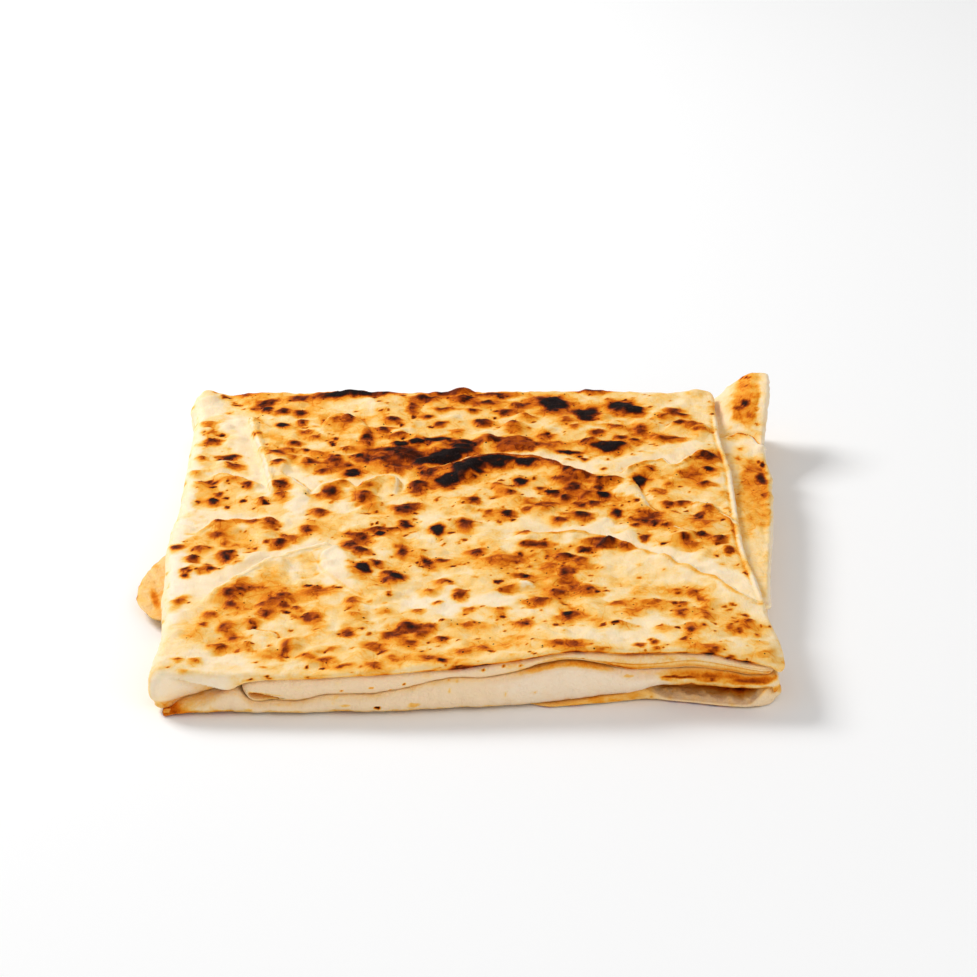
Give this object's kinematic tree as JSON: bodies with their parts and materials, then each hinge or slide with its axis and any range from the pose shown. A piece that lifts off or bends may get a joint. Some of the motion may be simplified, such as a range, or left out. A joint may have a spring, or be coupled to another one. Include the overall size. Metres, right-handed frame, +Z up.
{
  "type": "gozleme",
  "caption": "Flat folded flatbread packet, pan-browned on top, with layered dough plies at its front edge, a side flap and a small tab of dough",
  "frame": {"origin": "centre of the packet's footprint box, on the surface it lies on", "axes": "+Z up, +Y from the open layered front edge to the rear fold, +X to the right where the flap is"},
  "size_m": [0.217, 0.2234, 0.0242],
  "materials": {
    "browned_dough": "matte baked dough, cream with golden, brown and charred spots",
    "pale_dough": "matte pale dough with fine flour bloom",
    "base_dough": "matte dough browned along its edge"
  },
  "bodies": {
    "root": {"top_sheet": "browned_dough", "right_flap": "browned_dough", "middle_ply": "pale_dough", "lower_fold": "pale_dough", "left_tab": "pale_dough", "bottom_ply": "base_dough"}
  },
  "joints": []
}
